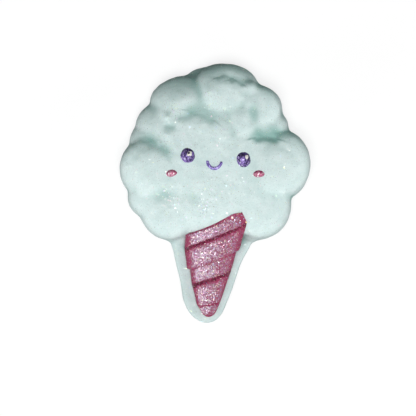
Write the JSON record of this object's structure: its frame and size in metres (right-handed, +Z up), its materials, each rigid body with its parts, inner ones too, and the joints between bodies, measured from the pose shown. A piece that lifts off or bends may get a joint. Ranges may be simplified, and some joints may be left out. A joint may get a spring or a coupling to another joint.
{
  "type": "cotton candy bath bomb",
  "caption": "Pale mint bath bomb pressed in the shape of cotton candy on a wrapped rose paper cone, with a small smiling painted face and fine glitter",
  "frame": {"origin": "middle of the flat back, on the surface that the piece lies on", "axes": "+Z up out of the face, +Y from the cone's tip towards the crown of the cloud, +X to the right as the face is looked at"},
  "size_m": [0.074, 0.1, 0.0238],
  "materials": {
    "mint_powder": "dry pressed bath powder, matt and softly grainy, deeper mint in the creases",
    "cone_mica": "rose mica brushed on, shimmering on the ridges and deep rose in the folds",
    "eye_mica": "violet mica brushed on the raised eyes",
    "eye_light": "a dab of cream paint",
    "smile_mica": "violet mica brushed on the raised smile",
    "cheek_mica": "rose mica brushed on the raised cheeks",
    "glitter": "fine pearl glitter dusted over the pressing"
  },
  "bodies": {
    "root": {"cotton_candy": "mint_powder"}
  },
  "joints": []
}
